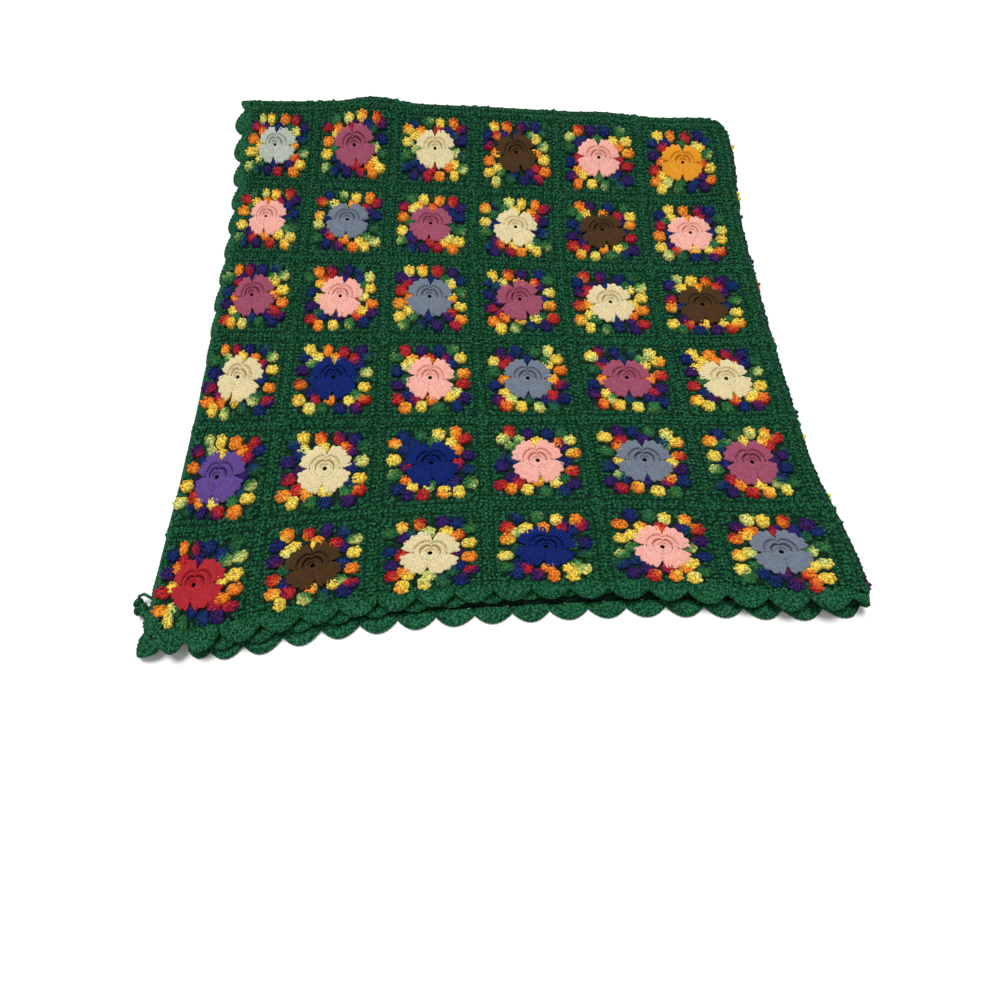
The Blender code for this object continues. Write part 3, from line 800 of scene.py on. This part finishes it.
# The raised roses
roseLook = {
    "petals": 4,
    "rings": [
        # section (radius, height) from the ring's foot to under its rim; ribs and rim lobes of a petal; how
        # far the rim falls back between lobes and in the notches between petals, and how wide those are
        {"section": [(0.0174, 0.0008), (0.0177, 0.0036), (0.0186, 0.0058), (0.0200, 0.0064),
                     (0.0226, 0.0056), (0.0258, 0.0048), (0.0290, 0.0046), (0.0314, 0.0040),
                     (0.0322, 0.0028), (0.0312, 0.0014), (0.0220, 0.0006)],
         "ribs": 13, "ribHeight": 0.0017, "lobes": 5, "lobeDepth": 0.10, "notch": 0.34, "notchWidth": 0.24},
        {"section": [(0.0108, 0.0006), (0.0111, 0.0040), (0.0118, 0.0066), (0.0130, 0.0078),
                     (0.0146, 0.0070), (0.0162, 0.0054), (0.0174, 0.0036), (0.0178, 0.0018)],
         "ribs": 8, "ribHeight": 0.0013, "lobes": 3, "lobeDepth": 0.03, "notch": 0.05, "notchWidth": 0.22},
        {"section": [(0.0044, 0.0010), (0.0047, 0.0050), (0.0055, 0.0078), (0.0068, 0.0086),
                     (0.0082, 0.0076), (0.0096, 0.0054), (0.0105, 0.0030), (0.0106, 0.0010)],
         "ribs": 5, "ribHeight": 0.0009, "lobes": 2, "lobeDepth": 0.03, "notch": 0.05, "notchWidth": 0.24},
    ],
    "ribSteps": 3, "ribGrowth": 3, "ribFade": 4, "ribEnd": 1.02,
    "notchDrop": 0.0010, "notchFlatness": 0.7,
    # the rings dip towards the heart between the two far petals, between these sines of the angle round
    # the rose; at the rim of a ring with deep notches they dip less
    "farDip": 0.24, "dipBegins": 0.25, "dipFull": 0.75, "dipRelief": 2,
    # between the sines farBegins and farFull the rings come to stand up as steps, and nearer they lie flat
    # on each other, on a cone from the first height to the second
    "cone": (0.0076, 0.0046), "coneRadius": 0.032, "farBegins": -0.30, "farFull": 0.55,
    "underRadius": 0.0205, "underHeight": 0.0030,
    "heart": {"radius": 0.0042, "yarn": 0.0019, "lift": 0.0040, "sides": 8, "steps": 20},
    "lift": 0.0012, "turnJitter": 0.13, "sizeRange": (0.96, 1.04), "heightRange": (0.9, 1.1),
    "joinWithin": 0.00002,
}
# the colours run in diagonal stripes, counted as column less row, and some roses break them (row, column)
stripes = {5: "orange", 4: "pink", 3: "brown", 2: "cream", 1: "mauve", 0: "blueGrey",
           -1: "pink", -2: "royalBlue", -3: "cream", -4: "purple", -5: "red"}
oddRoses = {(1, 1): "lightGrey", (3, 1): "mauve", (6, 2): "brown"}


# One ring of petals: its section spun round, then notched, ribbed and lobed
def addPetalRing(bm, ring):
    section = ring["section"]
    foot, rim = section[0][0], max(radius for radius, height in section)
    earlier = set(bm.verts)
    verts = [bm.verts.new((radius, 0.0, height)) for radius, height in section]
    edges = [bm.edges.new(pair) for pair in zip(verts, verts[1:])]
    petals = roseLook["petals"]
    ribs = ring["ribs"] * petals
    bmesh.ops.spin(bm, geom=verts + edges, axis=(0, 0, 1), cent=(0, 0, 0), angle=2 * math.pi,
                   steps=ribs * roseLook["ribSteps"], use_merge=True)
    for vert in set(bm.verts) - earlier:
        angle = math.atan2(vert.co.y, vert.co.x)
        radius = math.hypot(vert.co.x, vert.co.y)
        share = max((radius - foot) / (rim - foot), 0.0)
        fromNotch = abs(math.sin(petals / 2 * angle))
        notch = math.exp(-(fromNotch / ring["notchWidth"]) ** 2)
        rib = math.cos(ribs * angle + math.pi)
        lobe = abs(math.cos(ring["lobes"] * petals / 2 * angle + math.pi / 2))
        scale = mix(1.0, 1.0 - ring["notch"] * notch - ring["lobeDepth"] * (1.0 - lobe), share)
        farSide = (math.sin(angle) - roseLook["dipBegins"]) / (roseLook["dipFull"] - roseLook["dipBegins"])
        dip = roseLook["farDip"] * (1.0 - fromNotch) ** 2 * float(smoothStep(farSide))
        scale *= 1.0 - dip * (1.0 - share * ring["notch"] * roseLook["dipRelief"])
        vert.co.x *= scale
        vert.co.y *= scale
        if radius < roseLook["underRadius"] or vert.co.z > roseLook["underHeight"]:
            far = (math.sin(angle) - roseLook["farBegins"]) / (roseLook["farFull"] - roseLook["farBegins"])
            far = float(smoothStep(far)) * (1.0 - roseLook["notchFlatness"] * notch)
            nearHeight = mix(*roseLook["cone"], radius / roseLook["coneRadius"])
            ribShare = min(share * roseLook["ribGrowth"],
                           max(roseLook["ribEnd"] - share, 0.0) * roseLook["ribFade"], 1.0)
            vert.co.z = mix(nearHeight, vert.co.z, far) + ring["ribHeight"] * rib * ribShare
        vert.co.z -= roseLook["notchDrop"] * notch * share


def roseShape():
    bm = bmesh.new()
    for ring in roseLook["rings"]:
        addPetalRing(bm, ring)
    heart = roseLook["heart"]
    circle = bmesh.ops.create_circle(bm, segments=heart["sides"], radius=heart["yarn"],
                                     cap_ends=False)["verts"]
    bmesh.ops.rotate(bm, verts=circle, matrix=Matrix.Rotation(math.pi / 2, 3, "X"))
    bmesh.ops.translate(bm, verts=circle, vec=(heart["radius"], 0, heart["lift"]))
    edges = list({edge for vert in circle for edge in vert.link_edges})
    bmesh.ops.spin(bm, geom=circle + edges, axis=(0, 0, 1), cent=(0, 0, 0), angle=2 * math.pi,
                   steps=heart["steps"], use_merge=True)
    bmesh.ops.remove_doubles(bm, verts=bm.verts, dist=roseLook["joinWithin"])
    bmesh.ops.recalc_face_normals(bm, faces=bm.faces)
    return shapeArrays(bm)


def makeRose(shape, row, column):
    yarn = oddRoses.get((row, column), stripes[column - row])
    across, along = squareMiddle(column, onTop + 1 - row)
    turn = rng.gauss(0, roseLook["turnJitter"])
    width = rng.uniform(*roseLook["sizeRange"])
    length = rng.uniform(*roseLook["sizeRange"])
    height = rng.uniform(*roseLook["heightRange"])
    copies = placeCopies(shape, [(across, along, turn, width, length, height, roseLook["lift"])])
    node = f"rose_r{row}_c{column}"
    piece = makePiece("petals_" + node, copies, petalYarns[yarn])
    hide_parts(node)
    return piece


rose = roseShape()
roses = [makeRose(rose, row, column) for row in range(1, onTop + 1) for column in range(1, onTop + 1)]


# The knot of loose yarn at the front left corner
loose = {
    "place": (-0.3900, -0.3460),
    "knot": [
        # x, y, z, width, length, height and turn of each of the knot's loops
        (0.000, 0.000, 0.0050, 0.0100, 0.0150, 0.0060, 0.3),
        (-0.004, 0.005, 0.0080, 0.0085, 0.0120, 0.0060, -0.5),
        (0.004, -0.007, 0.0070, 0.0085, 0.0125, 0.0060, 0.9),
        (-0.002, -0.004, 0.0100, 0.0080, 0.0110, 0.0050, 0.1),
    ],
    "loopSides": (10, 8), "loopCut": -0.8,
    "tail": [(-0.003, 0.004, 0.010), (-0.002, 0.011, 0.013), (0.003, 0.013, 0.014), (0.012, 0.008, 0.012),
             (0.020, 0.006, 0.012)],
    "tailRadius": 0.0016, "tailSides": 8,
}


def makeLooseYarn():
    bm = bmesh.new()
    placeX, placeY = loose["place"]
    radius = loose["tailRadius"]
    for x, y, z, width, length, height, turn in loose["knot"]:
        addLump(bm, (width, length, height), (placeX + x, placeY + y, z), turn, loose["loopSides"],
                loose["loopCut"])
    for start, end in zip(loose["tail"], loose["tail"][1:]):
        start, end = Vector(start), Vector(end)
        way = (end - start).to_track_quat("Z", "Y").to_matrix().to_4x4()
        way.translation = (start + end) / 2 + Vector((placeX, placeY, 0))
        bmesh.ops.create_cone(bm, segments=loose["tailSides"], radius1=radius, radius2=radius,
                              depth=(end - start).length + radius, cap_ends=True, matrix=way)
    return makePiece("looseYarn", shapeArrays(bm), mossyYarn, fold=False)


looseYarn = makeLooseYarn()


# The floor, light and camera
studio = {
    "floor": (0.90, 0.90, 0.89), "floorSize": 6.0, "floorRoughness": 0.9,
    "world": (1.0, 1.0, 1.0), "worldStrength": 0.48,
    # where the soft key light comes from, how wide it looks and how strong it is
    "keyFrom": (-0.14, 0.26, 1.0), "keyAngle": 24.0, "keyStrength": 2.75,
    # the camera, read off the photo: place, yaw, pitch down and roll in degrees, focal length and frame in mm
    "camera": (-0.016, -0.543, 0.741), "yaw": 6.0, "pitch": 65.8, "roll": 5.0, "lens": 25.2,
    "frameWidth": 36.0, "nearest": 0.01,
}


def makeFloor():
    bm = bmesh.new()
    bmesh.ops.create_grid(bm, x_segments=1, y_segments=1, size=studio["floorSize"])
    mesh = bpy.data.meshes.new("floor")
    bm.to_mesh(mesh)
    bm.free()
    material = bpy.data.materials.new("paleFloor")
    material.use_nodes = True
    shader = material.node_tree.nodes["Principled BSDF"]
    shader.inputs["Base Color"].default_value = (*studio["floor"], 1.0)
    shader.inputs["Roughness"].default_value = studio["floorRoughness"]
    mesh.materials.append(material)
    floor = addObject("floor", mesh)


def makeLight():
    light = bpy.data.lights.new("key", "SUN")
    light.angle = math.radians(studio["keyAngle"])
    light.energy = studio["keyStrength"]
    lamp = addObject("key", light)
    lamp.location = studio["keyFrom"]
    lamp.rotation_euler = Vector(studio["keyFrom"]).to_track_quat("Z", "Y").to_euler()
    world = bpy.data.worlds.new("studio")
    world.use_nodes = True
    background = world.node_tree.nodes["Background"]
    background.inputs["Color"].default_value = (*studio["world"], 1.0)
    background.inputs["Strength"].default_value = studio["worldStrength"]
    bpy.context.scene.world = world
    bpy.context.scene.view_settings.view_transform = "Standard"


def makeCamera():
    yaw, pitch, roll = (math.radians(studio[name]) for name in ("yaw", "pitch", "roll"))
    forward = Vector((math.sin(yaw) * math.cos(pitch), math.cos(yaw) * math.cos(pitch), -math.sin(pitch)))
    level = Vector((math.cos(yaw), -math.sin(yaw), 0.0))
    upward = level.cross(forward)
    right = math.cos(roll) * level + math.sin(roll) * upward
    up = -math.sin(roll) * level + math.cos(roll) * upward
    view = Matrix((right, up, -forward)).transposed().to_4x4()
    x, y, z = studio["camera"]
    view.translation = (x - lie["middle"][0], y - lie["middle"][1], z)
    lens = bpy.data.cameras.new("camera")
    lens.lens = studio["lens"]
    lens.sensor_width = studio["frameWidth"]
    lens.clip_start = studio["nearest"]
    camera = addObject("camera", lens)
    camera.matrix_world = view
    bpy.context.scene.camera = camera


makeFloor()
makeLight()
makeCamera()
print("floor, light and camera set")
